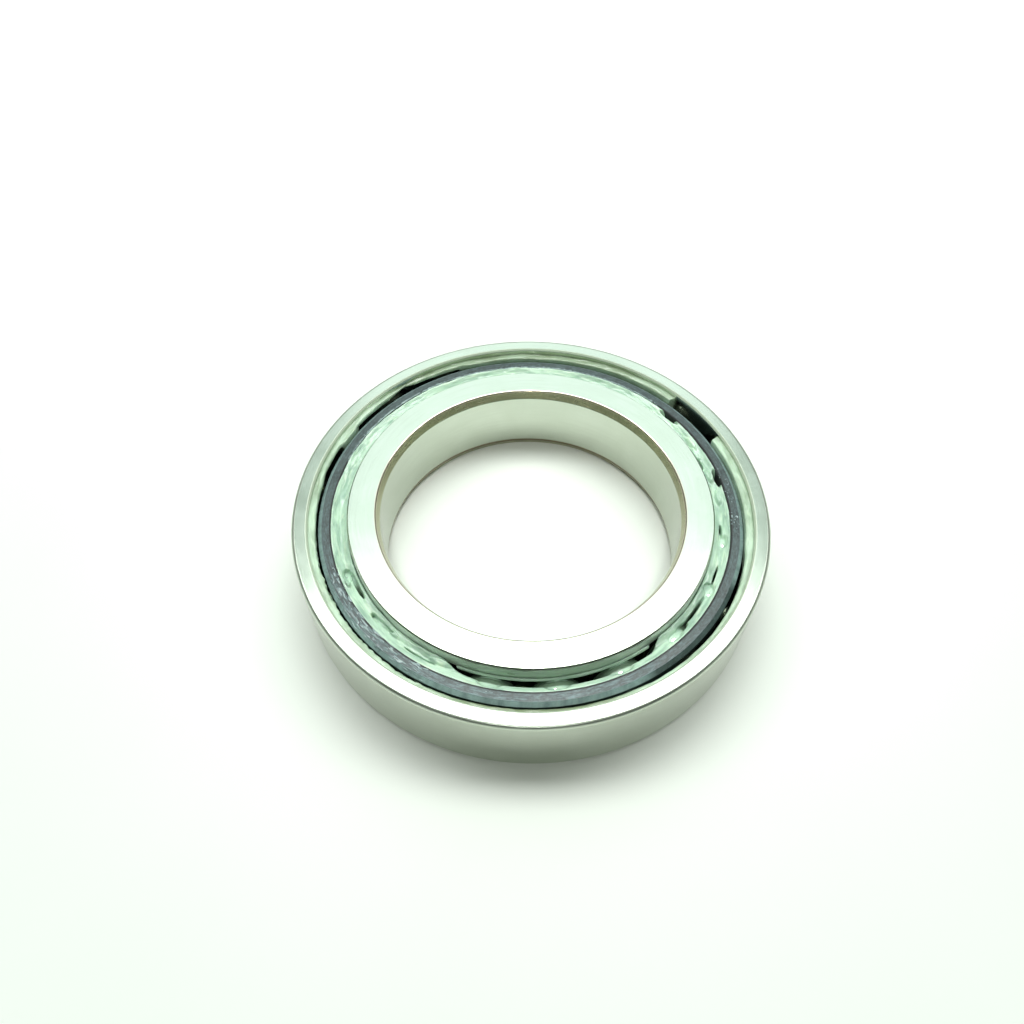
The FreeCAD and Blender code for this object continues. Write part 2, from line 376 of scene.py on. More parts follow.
def ring_steel(name, kind):
    n = Nodes(name)
    r, z, ux, uy = polar(n)
    edge = n.attribute("edge")
    along = n.math("ADD", r, z)
    # the lay of grinding: long thin streaks round the axis
    lay = n.vec(n.math("MULTIPLY", ux, 9.0), n.math("MULTIPLY", uy, 9.0),
                n.math("MULTIPLY", along, 7.0))
    fine = n.noise(lay, 1.0, 4.0, 0.7)
    lay2 = n.vec(n.math("MULTIPLY", ux, 3.0), n.math("MULTIPLY", uy, 3.0),
                 n.math("MULTIPLY", along, 1.6))
    broad = n.noise(lay2, 1.0, 3.0, 0.6)
    blotch = n.noise(n.pos, 90.0, 4.0, 0.6, 0.4)
    cloud = n.noise(n.pos, 24.0, 3.0, 0.5)
    speck = n.noise(n.pos, 900.0, 2.0, 0.5)
    # hairline scratches: thin bands of a stretched field, in two directions
    p = n.xyz()
    def hair(ax, ay, seed, width):
        v = n.vec(n.math("ADD", n.math("MULTIPLY", p[0], ax), n.math("MULTIPLY", p[1], ay)),
                  n.math("MULTIPLY", n.math("SUBTRACT", n.math("MULTIPLY", p[0], ay),
                                            n.math("MULTIPLY", p[1], ax)), 0.035),
                  n.math("ADD", n.math("MULTIPLY", p[2], 0.4), seed))
        f = n.noise(v, 420.0, 2.0, 0.5, 0.0)
        return n.ramp(n.math("ABSOLUTE", n.math("SUBTRACT", f, 0.5)), 0.0, width, 1.0, 0.0)
    mask = n.ramp(n.noise(n.pos, 60.0, 2.0), 0.52, 0.66)
    hairs = n.math("MULTIPLY", n.math("MAXIMUM", hair(0.8, 0.6, 0.0, 0.006),
                                      hair(-0.35, 0.94, 0.31, 0.005)), mask)
    # colour: clean ground steel, a faint warm film, darker blotches
    base = n.mix(n.ramp(blotch, 0.35, 0.7), rgb(0.545, 0.60, 0.505), rgb(0.60, 0.655, 0.565))
    base = n.mix(n.ramp(broad, 0.3, 0.75, 0.0, 0.45), base, rgb(0.50, 0.545, 0.455))
    base = n.mix(n.ramp(cloud, 0.5, 0.8, 0.0, 0.40), base, rgb(0.47, 0.52, 0.44))
    base = n.mix(n.math("MULTIPLY", hairs, 0.16), base, rgb(0.70, 0.76, 0.69))
    rough = n.math("ADD", n.ramp(blotch, 0.3, 0.75, 0.12, 0.19),
                   n.ramp(fine, 0.3, 0.7, -0.02, 0.03))
    metal = 1.0
    # the bore's chamfer is turned, not ground, so it is darker and browner
    if kind == "inner":
        cham = n.math("MULTIPLY", n.ramp(r, R_BORE + 0.02, R_BORE + 0.14),
                      n.ramp(r, R_BORE + 0.98, R_BORE + 0.80))
        brown = n.mix(n.ramp(broad, 0.25, 0.75), rgb(0.385, 0.385, 0.255), rgb(0.445, 0.44, 0.305))
        base = n.mix(cham, base, brown)
        rough = n.math("ADD", rough, n.math("MULTIPLY", cham, 0.10))
        # painted highlight: the rounding where the chamfer meets the face is painted a pale tan, for the
        # light it catches
        lip_highlight = n.math("MULTIPLY", n.ramp(r, R_BORE + 0.66, R_BORE + 0.78),
                     n.ramp(r, R_BORE + 1.30, R_BORE + 1.12))
        lip_highlight = n.math("MULTIPLY", lip_highlight, n.ramp(z, TOP - 0.9, TOP - 0.5, 0.0, 0.75))
        base = n.mix(lip_highlight, base, rgb(0.66, 0.57, 0.46))
        # painted shade: a dark brown line at the foot of the bore, above the back chamfer, a little
        # rougher
        foot_shade = n.math("MULTIPLY", n.ramp(z, BOTTOM + 2.75, BOTTOM + 2.35),
                      n.ramp(r, R_BORE + 0.5, R_BORE + 0.1))
        base = n.mix(foot_shade, base, rgb(0.23, 0.19, 0.12))
        rough = n.math("ADD", rough, n.math("MULTIPLY", foot_shade, 0.2))
    else:
        # grease wiped thin over the counterbore's edge
        wiped = n.math("MULTIPLY", n.ramp(r, R_COUNTER + 0.62, R_COUNTER + 0.34),
                       n.ramp(z, TOP - 0.6, TOP - 0.4))
        base = n.mix(wiped, base, rgb(0.50, 0.58, 0.44))
        rough = n.math("ADD", rough, n.math("MULTIPLY", wiped, 0.34))
        metal = n.math("SUBTRACT", 1.0, n.math("MULTIPLY", wiped, 0.85))
        corner = n.math("MULTIPLY", n.ramp(r, R_OUT - 0.92, R_OUT - 0.80),
                        n.ramp(z, TOP - 0.85, TOP - 0.70))
        rough = n.math("ADD", rough, n.math("MULTIPLY", corner, 0.18))
    # a thin lighter line on each rounded edge: partly wear, partly painted highlight
    edge_wear_and_highlight = n.math("MULTIPLY", n.ramp(edge, 0.4, 0.9),
                  n.ramp(n.noise(n.pos, 240.0, 3.0), 0.35, 0.6, 0.1, 0.5))
    base = n.mix(edge_wear_and_highlight, base, rgb(0.66, 0.69, 0.61))
    normal = n.bump(fine, 0.10, 0.00004)
    normal = n.bump(hairs, 0.05, 0.00003, normal)
    normal = n.bump(n.math("ADD", speck, n.math("MULTIPLY", blotch, 2.0)), 0.05, 0.00003, normal)
    n.set(Base_Color=base, Roughness=rough, Metallic=metal, Normal=normal)
    n.bsdf.inputs["Anisotropic"].default_value = 0.10
    tangent = n.add("ShaderNodeTangent", direction_type="RADIAL", axis="Z")
    n.link(tangent.outputs[0], n.bsdf.inputs["Tangent"])
    return n.mat


def ball_steel():
    n = Nodes("ball_steel")
    smear = n.noise(n.pos, 260.0, 4.0, 0.6, 0.5)
    fine = n.noise(n.pos, 1600.0, 2.0, 0.5)
    base = n.mix(n.ramp(smear, 0.45, 0.7), rgb(0.70, 0.71, 0.69), rgb(0.50, 0.55, 0.44))
    n.set(Base_Color=base, Roughness=n.ramp(smear, 0.35, 0.75, 0.06, 0.30), Metallic=1.0,
          Normal=n.bump(n.math("ADD", n.math("MULTIPLY", smear, 2.0), fine), 0.08, 0.00005))
    return n.mat


def cage_polymer():
    n = Nodes("cage_polymer")
    r, z, ux, uy = polar(n)
    edge = n.attribute("edge")
    lay = n.vec(n.math("MULTIPLY", ux, 6.0), n.math("MULTIPLY", uy, 6.0),
                n.math("MULTIPLY", n.math("ADD", r, z), 5.0))
    lines = n.noise(lay, 1.0, 3.0, 0.6)
    grain = n.noise(n.pos, 1500.0, 3.0, 0.6)
    patch = n.noise(n.pos, 150.0, 4.0, 0.6, 0.5)
    streak = n.noise(n.vec(n.math("MULTIPLY", ux, 26.0), n.math("MULTIPLY", uy, 26.0),
                           n.math("MULTIPLY", n.math("ADD", r, z), 2.6)), 1.0, 4.0, 0.65, 0.3)
    base = n.mix(n.ramp(patch, 0.35, 0.7), rgb(0.016, 0.027, 0.027), rgb(0.042, 0.064, 0.062))
    base = n.mix(n.ramp(grain, 0.45, 0.7, 0.0, 0.5), base, rgb(0.080, 0.120, 0.118))
    # a thin wet film lightens the outer bevel and streaks the flat: partly the film, partly painted
    # highlight
    bevel = n.math("MULTIPLY", n.ramp(r, R_CAGE - 0.98, R_CAGE - 0.86), n.ramp(z, 6.9, 7.15))
    film_and_sheen = n.math("MULTIPLY", bevel, n.ramp(streak, 0.3, 0.62, 0.45, 0.95))
    # painted highlight: the bevel's lightening fades out where the bevel turns from the light, near +X,
    # -Y
    turned = n.math("ADD", n.math("MULTIPLY", ux, math.cos(math.radians(317.0))),
                    n.math("MULTIPLY", uy, math.sin(math.radians(317.0))))
    film_and_sheen = n.math("MULTIPLY", film_and_sheen, n.ramp(turned, 0.940, 0.962, 1.0, 0.12))
    base = n.mix(film_and_sheen, base, rgb(0.30, 0.42, 0.405))
    flat_streak_and_sheen = n.math("MULTIPLY", n.ramp(z, CAGE_TOP - 0.1, CAGE_TOP - 0.03),
                  n.ramp(streak, 0.46, 0.68, 0.0, 0.55))
    # painted sheen: the flat's lighter streaks grow stronger towards 250 degrees, the camera's side,
    # where the flat catches the lamps
    side = n.math("ADD", n.math("MULTIPLY", ux, math.cos(math.radians(250.0))),
                  n.math("MULTIPLY", uy, math.sin(math.radians(250.0))))
    flat_streak_and_sheen = n.math("MULTIPLY", flat_streak_and_sheen, n.ramp(side, 0.35, 0.85, 0.55, 1.5))
    base = n.mix(flat_streak_and_sheen, base, rgb(0.14, 0.235, 0.245))
    # the inside edge is dry and dark
    dry = n.ramp(r, R_CAGE_IN + 0.50, R_CAGE_IN + 0.38)
    base = n.mix(dry, base, rgb(0.014, 0.015, 0.016))
    rough = n.ramp(patch, 0.3, 0.7, 0.30, 0.46)
    rough = n.math("SUBTRACT", rough, n.math("MULTIPLY", film_and_sheen, 0.10))
    rough = n.math("ADD", rough, n.math("MULTIPLY", dry, 0.25))
    normal = n.bump(lines, 0.22, 0.00006)
    normal = n.bump(grain, 0.30, 0.00005, normal)
    normal = n.bump(streak, 0.22, 0.0001, normal)
    n.set(Base_Color=base, Roughness=rough, Normal=normal)
    n.bsdf.inputs["Coat Weight"].default_value = 0.15
    n.bsdf.inputs["Coat Roughness"].default_value = 0.22
    return n.mat


def grease(name, pale, deep, warm, rough=0.24, depth_shade=None, side_shade=None):
    """The dark colour is painted shade down between the balls; the olive colour is painted shade towards
    the far and near sides.
    """
    n = Nodes(name)
    r, z, ux, uy = polar(n)
    # colour and relief are drawn out along the ring, as the balls leave them
    def drawn(along, across, detail=3.0, distort=0.0):
        v = n.vec(n.math("MULTIPLY", ux, along), n.math("MULTIPLY", uy, along),
                  n.math("MULTIPLY", n.math("ADD", r, n.math("MULTIPLY", z, 0.7)), across))
        return n.noise(v, 1.0, detail, 0.5, distort)
    swirl = drawn(7.0, 0.55, 4.0, 0.4)
    ridge = drawn(12.0, 1.5, 3.0, 0.3)
    string = drawn(30.0, 4.0, 2.0)
    base = n.mix(n.ramp(swirl, 0.34, 0.62), deep, pale)
    base = n.mix(n.ramp(ridge, 0.55, 0.74, 0.0, 0.45), base, warm)
    if side_shade:
        # painted shade: olive towards the far side (+Y) and the near side (-Y)
        base = n.mix(n.ramp(uy, 0.62, 0.90, 0.0, 0.80), base, n.mix(swirl, side_shade, deep))
        base = n.mix(n.ramp(uy, -0.88, -0.985, 0.0, 0.92), base, side_shade)
    if depth_shade:
        # painted shade: darker low down between the balls
        low = n.math("ADD", z, n.math("MULTIPLY", swirl, 0.5))
        base = n.mix(n.ramp(low, 6.0, 5.5), base, depth_shade)
        # painted shade on the ring's shadow side, where the balls' inner flanks lie open
        turned = n.math("ADD", n.math("MULTIPLY", ux, math.cos(math.radians(277.0))),
                        n.math("MULTIPLY", uy, math.sin(math.radians(277.0))))
        inner = n.math("MULTIPLY", n.ramp(turned, math.cos(math.radians(33.0)),
                                          math.cos(math.radians(29.0))),
                       n.ramp(n.math("ADD", r, n.math("MULTIPLY", ridge, 0.9)), 45.05, 44.75))
        inner = n.math("MULTIPLY", inner, n.ramp(z, 6.9, 6.5))
        base = n.mix(inner, base, depth_shade)
        bead = n.math("MULTIPLY", n.ramp(r, 43.40, 43.25), n.ramp(z, 5.3, 5.6))
        base = n.mix(bead, base, n.mix(swirl, deep, pale))
    normal = n.bump(ridge, 0.22, 0.00025)
    normal = n.bump(string, 0.12, 0.00006, normal)
    n.set(Base_Color=base, Roughness=n.ramp(ridge, 0.3, 0.7, rough - 0.06, rough + 0.08),
          Normal=normal)
    n.bsdf.inputs["Subsurface Weight"].default_value = 0.20
    n.bsdf.inputs["Subsurface Radius"].default_value = (0.6, 0.8, 0.5)
    n.bsdf.inputs["Subsurface Scale"].default_value = 0.0006
    n.bsdf.inputs["Coat Weight"].default_value = 0.35
    n.bsdf.inputs["Coat Roughness"].default_value = 0.10
    return n.mat


STEEL_OUT = ring_steel("outer_ring_steel", "outer")
STEEL_IN = ring_steel("inner_ring_steel", "inner")
STEEL_BALL = ball_steel()
POLYMER = cage_polymer()
# the olive and dark colours given to the first three greases are painted shade
GREASE_OUT = grease("grease_outer", rgb(0.56, 0.725, 0.545), rgb(0.33, 0.44, 0.30),
                    rgb(0.68, 0.77, 0.57), side_shade=rgb(0.17, 0.215, 0.105))
GREASE_IN = grease("grease_inner", rgb(0.60, 0.79, 0.62), rgb(0.33, 0.49, 0.38),
                   rgb(0.80, 0.87, 0.66), depth_shade=rgb(0.12, 0.18, 0.12))
GREASE_SHOULDER = grease("grease_shoulder", rgb(0.86, 0.97, 0.86), rgb(0.62, 0.78, 0.64),
                         rgb(0.92, 0.97, 0.88), 0.20, side_shade=rgb(0.52, 0.68, 0.53))
GREASE_FILM = grease("grease_film", rgb(0.34, 0.44, 0.44), rgb(0.13, 0.17, 0.175),
                     rgb(0.62, 0.72, 0.70), 0.20)

# ------------------------------------------------------------------------------- rings
RACE = 0.52 * 2 * R_BALL
LEAD = RACE - R_BALL - 0.06
ALPHA = math.radians(25.0)
OX, OZ = PITCH - LEAD * math.cos(ALPHA), LEAD * math.sin(ALPHA)
IX, IZ = PITCH + LEAD * math.cos(ALPHA), -LEAD * math.sin(ALPHA)

# outer ring, anticlockwise from the back face's inner edge
land_z = OZ - math.sqrt(RACE ** 2 - (R_THRUST - OX) ** 2)
slope = (R_COUNTER - R_LIP) / (TOP - 0.35 - 0.5)
lip_z = 0.5
for _ in range(60):        # where the counterbore leaves the groove
    lip_r = R_LIP + slope * (lip_z - 0.5)
    lip_z = OZ + math.sqrt(max(RACE ** 2 - (lip_r - OX) ** 2, 0))
lip_r = R_LIP + slope * (lip_z - 0.5)
a_lip = math.atan2(lip_z - OZ, lip_r - OX)
a_land = math.atan2(land_z - OZ, R_THRUST - OX)
outer_outline = fillet(
    [(R_THRUST + 0.6, BOTTOM, 0.12), (R_OUT, BOTTOM, 1.5, 0.0), (R_OUT, TOP, 0.9, 0.0),
     (R_COUNTER + 0.35, TOP, 0.10), (R_COUNTER, TOP - 0.35, 0.15),
     (lip_r, lip_z, 0.06)]
    + arc(OX, OZ, RACE, a_lip - 0.03, a_land + 0.06, 44)
    + [(R_THRUST, land_z, 0.12), (R_THRUST, BOTTOM + 0.6, 0.15)])
outer = lathe("outer_ring_metal", outer_outline, STEEL_OUT)
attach(outer, "outer_ring")
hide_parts("outer_ring")

high = IZ + math.sqrt(RACE ** 2 - (R_LAND - IX) ** 2)
low = IZ - math.sqrt(RACE ** 2 - (R_LAND_BACK - IX) ** 2)
a_high = math.atan2(high - IZ, R_LAND - IX)
a_low = math.atan2(low - IZ, R_LAND_BACK - IX) + TAU
inner_outline = fillet(
    [(R_BORE + 0.9, BOTTOM, 0.45, 0.0), (R_LAND_BACK - 0.3, BOTTOM, 0.10),
     (R_LAND_BACK, BOTTOM + 0.3, 0.10), (R_LAND_BACK, low, 0.12)]
    + arc(IX, IZ, RACE, a_low - 0.06, a_high + 0.06, 44)
    + [(R_LAND, high, 0.12), (R_LAND, TOP - 0.3, 0.10), (R_LAND - 0.3, TOP, 0.10),
       (R_BORE + 0.9, TOP, 0.45, 0.0), (R_BORE, TOP - 2.2, 0.6, 0.0),
       (R_BORE, BOTTOM + 2.2, 0.6, 0.0)])
inner = lathe("inner_ring_metal", inner_outline, STEEL_IN)
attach(inner, "inner_ring")
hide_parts("inner_ring")


# -------------------------------------------------------------------------------- cage
def cage_radius(z):
    """Outside radius of the cage between its rims: the guided land, a step, the full size."""
    return R_CAGE_GUIDE + (R_CAGE - R_CAGE_GUIDE) * smooth(-3.7, -2.4, z)


def build_cage():
    z0, z1 = CAGE_BOTTOM + 0.55, CAGE_TOP - 1.0
    nt, ns = 30, 36
    hole, edge_r = 6.13, 0.22
    half = SECTOR / 2
    # rim of one patch in (angle, z), anticlockwise from the lower right corner
    rim = ([(half, z0 + (z1 - z0) * k / ns) for k in range(ns)]
           + [(half - SECTOR * k / nt, z1) for k in range(nt)]
           + [(-half, z1 + (z0 - z1) * k / ns) for k in range(ns)]
           + [(-half + SECTOR * k / nt, z0) for k in range(nt)])
    rim = np.array(rim)
    count = len(rim)

    def circle(rad, radius_of):
        ang = np.arctan2(rim[:, 1], rim[:, 0] * 48.0)
        y, z = rad * np.cos(ang), rad * np.sin(ang)
        return np.stack([np.arcsin(y / radius_of(z)), z], -1)

    verts, faces, edge = [], [], []

    def add_ring(phi, z, x_off, radius_of, turn, edge_line):
        """One closed ring of points on the surface, sunk by x_off towards the axis."""
        r = radius_of(z)
        y, x = r * np.sin(phi), r * np.cos(phi) - x_off
        c, s = math.cos(turn), math.sin(turn)
        start = len(verts)
        verts.extend(np.stack([x * c - y * s, x * s + y * c, z], -1).tolist())
        edge.extend([edge_line] * count)
        return start

    def bridge(a, b):
        for k in range(count):
            k2 = (k + 1) % count
            faces.append((a + k, a + k2, b + k2, b + k))

    steps = 6
    for sector in range(COUNT):
        turn = PHASE + SECTOR * sector
        rings = []
        for radius_of, sign in ((cage_radius, 1.0), (lambda z: np.full_like(z, R_CAGE_IN), -1.0)):
            side = []
            inner_ring = circle(hole + edge_r + 0.05, radius_of)
            for k in range(steps + 1):
                t = k / steps
                p = rim * (1 - t) + inner_ring * t
                side.append(add_ring(p[:, 0], p[:, 1], 0.0, radius_of, turn, 0.0))
            for k in range(6):
                a = math.radians(90) * k / 5
                rad = hole + edge_r * (1 - math.sin(a))
                p = circle(rad, radius_of)
                side.append(add_ring(p[:, 0], p[:, 1], sign * edge_r * (1 - math.cos(a)),
                                     radius_of, turn, 1.0))
            rings.append(side)
        chain = rings[0]
        for a, b in zip(chain, chain[1:]):
            bridge(a, b)
        bridge(rings[0][-1], rings[1][-1])
        chain = rings[1][::-1]
        for a, b in zip(chain, chain[1:]):
            bridge(a, b)

    # the two rims, turned about the axis, with the same angles as the patches
    def turned(points):
        out = []
        for k in range(COUNT * nt):
            a = PHASE + SECTOR / 2 - SECTOR / nt * k
            start = len(verts)
            for r, z, edge_line in points:
                verts.append([r * math.cos(a), r * math.sin(a), z])
                edge.append(edge_line)
            out.append(start)
        m = len(points)
        for k, a in enumerate(out):
            b = out[(k + 1) % len(out)]
            for j in range(m - 1):
                faces.append((a + j, b + j, b + j + 1, a + j + 1))

    t = CAGE_TOP
    top = fillet([(R_CAGE, z1, 0), (R_CAGE, t - 0.8, 0.12), (R_CAGE - 0.9, t, 0.10),
                  (R_CAGE_IN + 0.2, t, 0.10), (R_CAGE_IN, t - 0.2, 0.08), (R_CAGE_IN, z1, 0)])
    b = CAGE_BOTTOM
    bottom = fillet([(R_CAGE_IN, z0, 0), (R_CAGE_IN, b + 0.2, 0.08), (R_CAGE_IN + 0.2, b, 0.10),
                     (R_CAGE_GUIDE - 0.35, b, 0.12), (R_CAGE_GUIDE, b + 0.35, 0.12),
                     (R_CAGE_GUIDE, z0, 0)])
    turned(top)
    turned(bottom)

    # join the seams: points that fall on each other become one
    v = np.array(verts)
    key = np.round(v / 0.002).astype(np.int64)
    _, first, inverse = np.unique(key, axis=0, return_index=True, return_inverse=True)
    inverse = inverse.ravel()
    f = inverse[np.array(faces)]
    keep = np.array([len(set(q)) == 4 for q in f])
    return v[first], f[keep], np.array(edge)[first]


cv, cf, ce = build_cage()
cage = new_object("cage_moulding", cv, cf, POLYMER, {"edge": ce})
bm = bmesh.new()
bm.from_mesh(cage.data)
bmesh.ops.recalc_face_normals(bm, faces=bm.faces)
bm.to_mesh(cage.data)
bm.free()
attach(cage, "cage")
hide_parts("cage")


# ------------------------------------------------------------------------------- balls
def quad_sphere(n):
    """A sphere from a cube's six grids, evenly spread, with its seams welded."""
    t = np.tan(np.linspace(-math.pi / 4, math.pi / 4, n + 1))
    u, v = np.meshgrid(t, t, indexing="ij")
    one = np.ones_like(u)
    verts, faces = [], []
    for axes in ((one, u, v), (-one, v, u), (v, one, u), (u, -one, v), (u, v, one), (v, u, -one)):
        p = np.stack(axes, -1)
        p = p / np.linalg.norm(p, axis=-1, keepdims=True)
        start = sum(len(q) for q in verts)
        verts.append(p.reshape(-1, 3))
        i, j = np.meshgrid(np.arange(n), np.arange(n), indexing="ij")
        a = start + i * (n + 1) + j
        faces.append(np.stack([a, a + n + 1, a + n + 2, a + 1], -1).reshape(-1, 4))
    v, f = np.concatenate(verts), np.concatenate(faces)
    _, first, inverse = np.unique(np.round(v, 6), axis=0, return_index=True, return_inverse=True)
    return v[first], inverse.ravel()[f]


sv, sf = quad_sphere(26)
for k, name in enumerate(BALLS):
    ball = new_object(name + "_steel", sv * R_BALL + centres[k], sf, STEEL_BALL)
    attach(ball, name)
    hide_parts(name)


# -------------------------------------------------------------------- grease as a field
def surface_nets(field, r0, dr, z0, dz):
    """The closed skin where a field on a (angle, radius, height) grid passes zero; inside is
    positive. The angle goes all the way round. Returns points in mm and quads."""
    nt, nr, nz = field.shape
    inside = field > 0
    cells = np.zeros((nt, nr - 1, nz - 1), np.int8)
    nxt = np.roll(inside, -1, 0)
    corner = [(inside, 0), (nxt, 1)]
    for arr, _ in corner:
        for b in (0, 1):
            for c in (0, 1):
                cells += arr[:, b:nr - 1 + b, c:nz - 1 + c]
    active = (cells > 0) & (cells < 8)
    idx = np.argwhere(active)
    number = -np.ones(active.shape, np.int64)
    number[tuple(idx.T)] = np.arange(len(idx))
    acc = np.zeros((len(idx), 3))
    hits = np.zeros(len(idx))
    i, j, k = idx.T
    cs = [(a, b, c) for a in (0, 1) for b in (0, 1) for c in (0, 1)]
    val = {q: field[(i + q[0]) % nt, j + q[1], k + q[2]] for q in cs}
    for p in cs:
        for axis in range(3):
            if p[axis]:
                continue
            q = tuple(1 if m == axis else p[m] for m in range(3))
            a, b = val[p], val[q]
            cross = (a > 0) != (b > 0)
            t = np.where(cross, a / np.where(cross, a - b, 1), 0)
            pt = np.array(p, float)[None, :].repeat(len(idx), 0)
            pt[:, axis] = t
            acc += np.where(cross[:, None], pt, 0)
            hits += cross
    local = acc / hits[:, None] + idx
    faces = []
    for axis in range(3):
        if axis == 0:
            other = np.roll(inside, -1, 0)
            change = inside != other
        elif axis == 1:
            other = np.zeros_like(inside)
            other[:, :-1] = inside[:, 1:]
            change = (inside != other)
            change[:, -1] = False
        else:
            other = np.zeros_like(inside)
            other[:, :, :-1] = inside[:, :, 1:]
            change = (inside != other)
            change[:, :, -1] = False
        e = np.argwhere(change)
        ei, ej, ek = e.T
        flag = inside[ei, ej, ek]
        if axis == 0:
            ok = (ej > 0) & (ek > 0) & (ej < nr - 1) & (ek < nz - 1)
            quad = [(ei, ej - 1, ek - 1), (ei, ej, ek - 1), (ei, ej, ek), (ei, ej - 1, ek)]
        elif axis == 1:
            ok = (ek > 0) & (ek < nz - 1)
            quad = [((ei - 1) % nt, ej, ek - 1), ((ei - 1) % nt, ej, ek), (ei, ej, ek), (ei, ej, ek - 1)]
        else:
            ok = (ej > 0) & (ej < nr - 1)
            quad = [((ei - 1) % nt, ej - 1, ek), (ei, ej - 1, ek), (ei, ej, ek), ((ei - 1) % nt, ej, ek)]
        ids = np.stack([number[a[ok], b[ok], c[ok]] for a, b, c in quad], -1)
        flag = flag[ok]
        ids = ids[(ids >= 0).all(1)] if not (ids >= 0).all() else ids
        ids = np.where(flag[:len(ids), None], ids, ids[:, ::-1])
        faces.append(ids)
    faces = np.concatenate(faces)
    ang = local[:, 0] / nt * TAU
    r = r0 + local[:, 1] * dr
    z = z0 + local[:, 2] * dz
    return np.stack([r * np.cos(ang), r * np.sin(ang), z], -1), faces


def relax(points, faces, rounds=2, amount=0.5):
    """Evens out a skin by moving each point towards the middle of its neighbours."""
    a = np.concatenate([faces[:, [0, 1]], faces[:, [1, 2]], faces[:, [2, 3]], faces[:, [3, 0]]])
    a = np.concatenate([a, a[:, ::-1]])
    n = len(points)
    deg = np.bincount(a[:, 0], minlength=n).astype(float)
    for _ in range(rounds):
        mean = np.stack([np.bincount(a[:, 0], points[a[:, 1], c], minlength=n) for c in range(3)], -1)
        mean /= np.maximum(deg, 1)[:, None]
        points = points + amount * (mean - points)
    return points


def drop_crumbs(points, faces, least=60):
    """Removes specks: loose islands of fewer than that many faces."""
    parent = np.arange(len(points))
    for _ in range(60):
        low = parent[faces].min(1)
        new = parent.copy()
        for c in range(4):
            np.minimum.at(new, faces[:, c], low)
        new = new[new]
        if (new == parent).all():
            break
        parent = new
    label = parent[faces[:, 0]]
    ids, counts = np.unique(label, return_counts=True)
    good = set(ids[counts >= least].tolist())
    keep = np.array([x in good for x in label.tolist()])
    faces = faces[keep]
    used = np.unique(faces)
    renumber = -np.ones(len(points), np.int64)
    renumber[used] = np.arange(len(used))
    return points[used], renumber[faces]


def part_pinches(field):
    """Takes out grease that meets other grease only corner to corner, so that no edge of the
    skin is shared by more than two faces. It only ever removes, so nothing grows into a part."""
    for _ in range(40):
        found = 0
        for m, n in ((0, 1), (0, 2), (1, 2)):
            a = field > 0
            b, c = np.roll(a, -1, m), np.roll(a, -1, n)
            d = np.roll(b, -1, n)
            bad = (a == d) & (b == c) & (a != b)
            at = np.argwhere(bad)
            if not len(at):
                continue
            found += len(at)
            step_m = np.zeros(3, int)
            step_m[m] = 1
            step_n = np.zeros(3, int)
            step_n[n] = 1
            shape = np.array(field.shape)
            on = a[tuple(at.T)]
            one = np.where(on[:, None], at, (at + step_m) % shape)
            two = np.where(on[:, None], (at + step_m + step_n) % shape, (at + step_n) % shape)
            thin = field[tuple(one.T)] <= field[tuple(two.T)]
            gone = np.where(thin[:, None], one, two)
            field[tuple(gone.T)] = -0.02
        if not found:
            break
    return field


def grease_piece(name, body, material, region, field_of, steps=1500):
    """region is (r0, r1, z0, z1, dr, dz); field_of gets degrees, r, z and the angle's cosine
    and sine as grids, and answers positive inside the grease."""
    r0, r1, z0, z1, dr, dz = region
    rr = np.arange(r0 - 2 * dr, r1 + 2.5 * dr, dr)
    zz = np.arange(z0 - 2 * dz, z1 + 2.5 * dz, dz)
    ang = np.arange(steps) / steps * TAU
    T, R, Z = np.meshgrid(ang, rr, zz, indexing="ij", sparse=True)
    field = field_of(np.degrees(T), R, Z, np.cos(T), np.sin(T))
    field = np.array(np.broadcast_to(field, (steps, len(rr), len(zz))), np.float64)
    field[:, 0] = field[:, -1] = -1
    field[:, :, 0] = field[:, :, -1] = -1
    points, faces = surface_nets(part_pinches(field), rr[0], dr, zz[0], dz)
    points, faces = drop_crumbs(points, faces)
    points = relax(points, faces, 2, 0.5)
    piece = new_object(name, points, faces, material)
    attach(piece, body)
    print("%s: %d faces" % (name, len(faces)))
    return piece


N1, N2, N3, N4, N5 = (Noise(k) for k in (11, 23, 37, 41, 59))


def drawn(noise, c, s, across, along, octaves=2):
    """Noise drawn out along the ring: 'along' turns it over once in about 48 / along mm."""
    return noise.fbm(c * along, s * along, across, octaves, 0.5)


def bumps(rows, deg, r):
    """How far (degrees, radius) lies in any of the rows (middle, half width in degrees,
    middle radius, half width), from 0 outside to 1 in the middle."""
    total = 0.0
    for mid, wide, rad, high in rows:
        a = np.abs((deg - mid + 180) % 360 - 180) / wide
        b = np.abs(r - rad) / high
        total = np.maximum(total, 1 - smooth(0.55, 1.15, np.sqrt(a ** 2 + b ** 2)))
    return total


def counter_radius(z):
    """The outer ring's wall as the grease meets it: counterbore above, groove below."""
    wall = R_LIP + slope * (z - 0.5)
    groove = OX + np.sqrt(np.maximum(RACE ** 2 - (z - OZ) ** 2, 0.01))
    return np.where(z > lip_z, wall, groove)


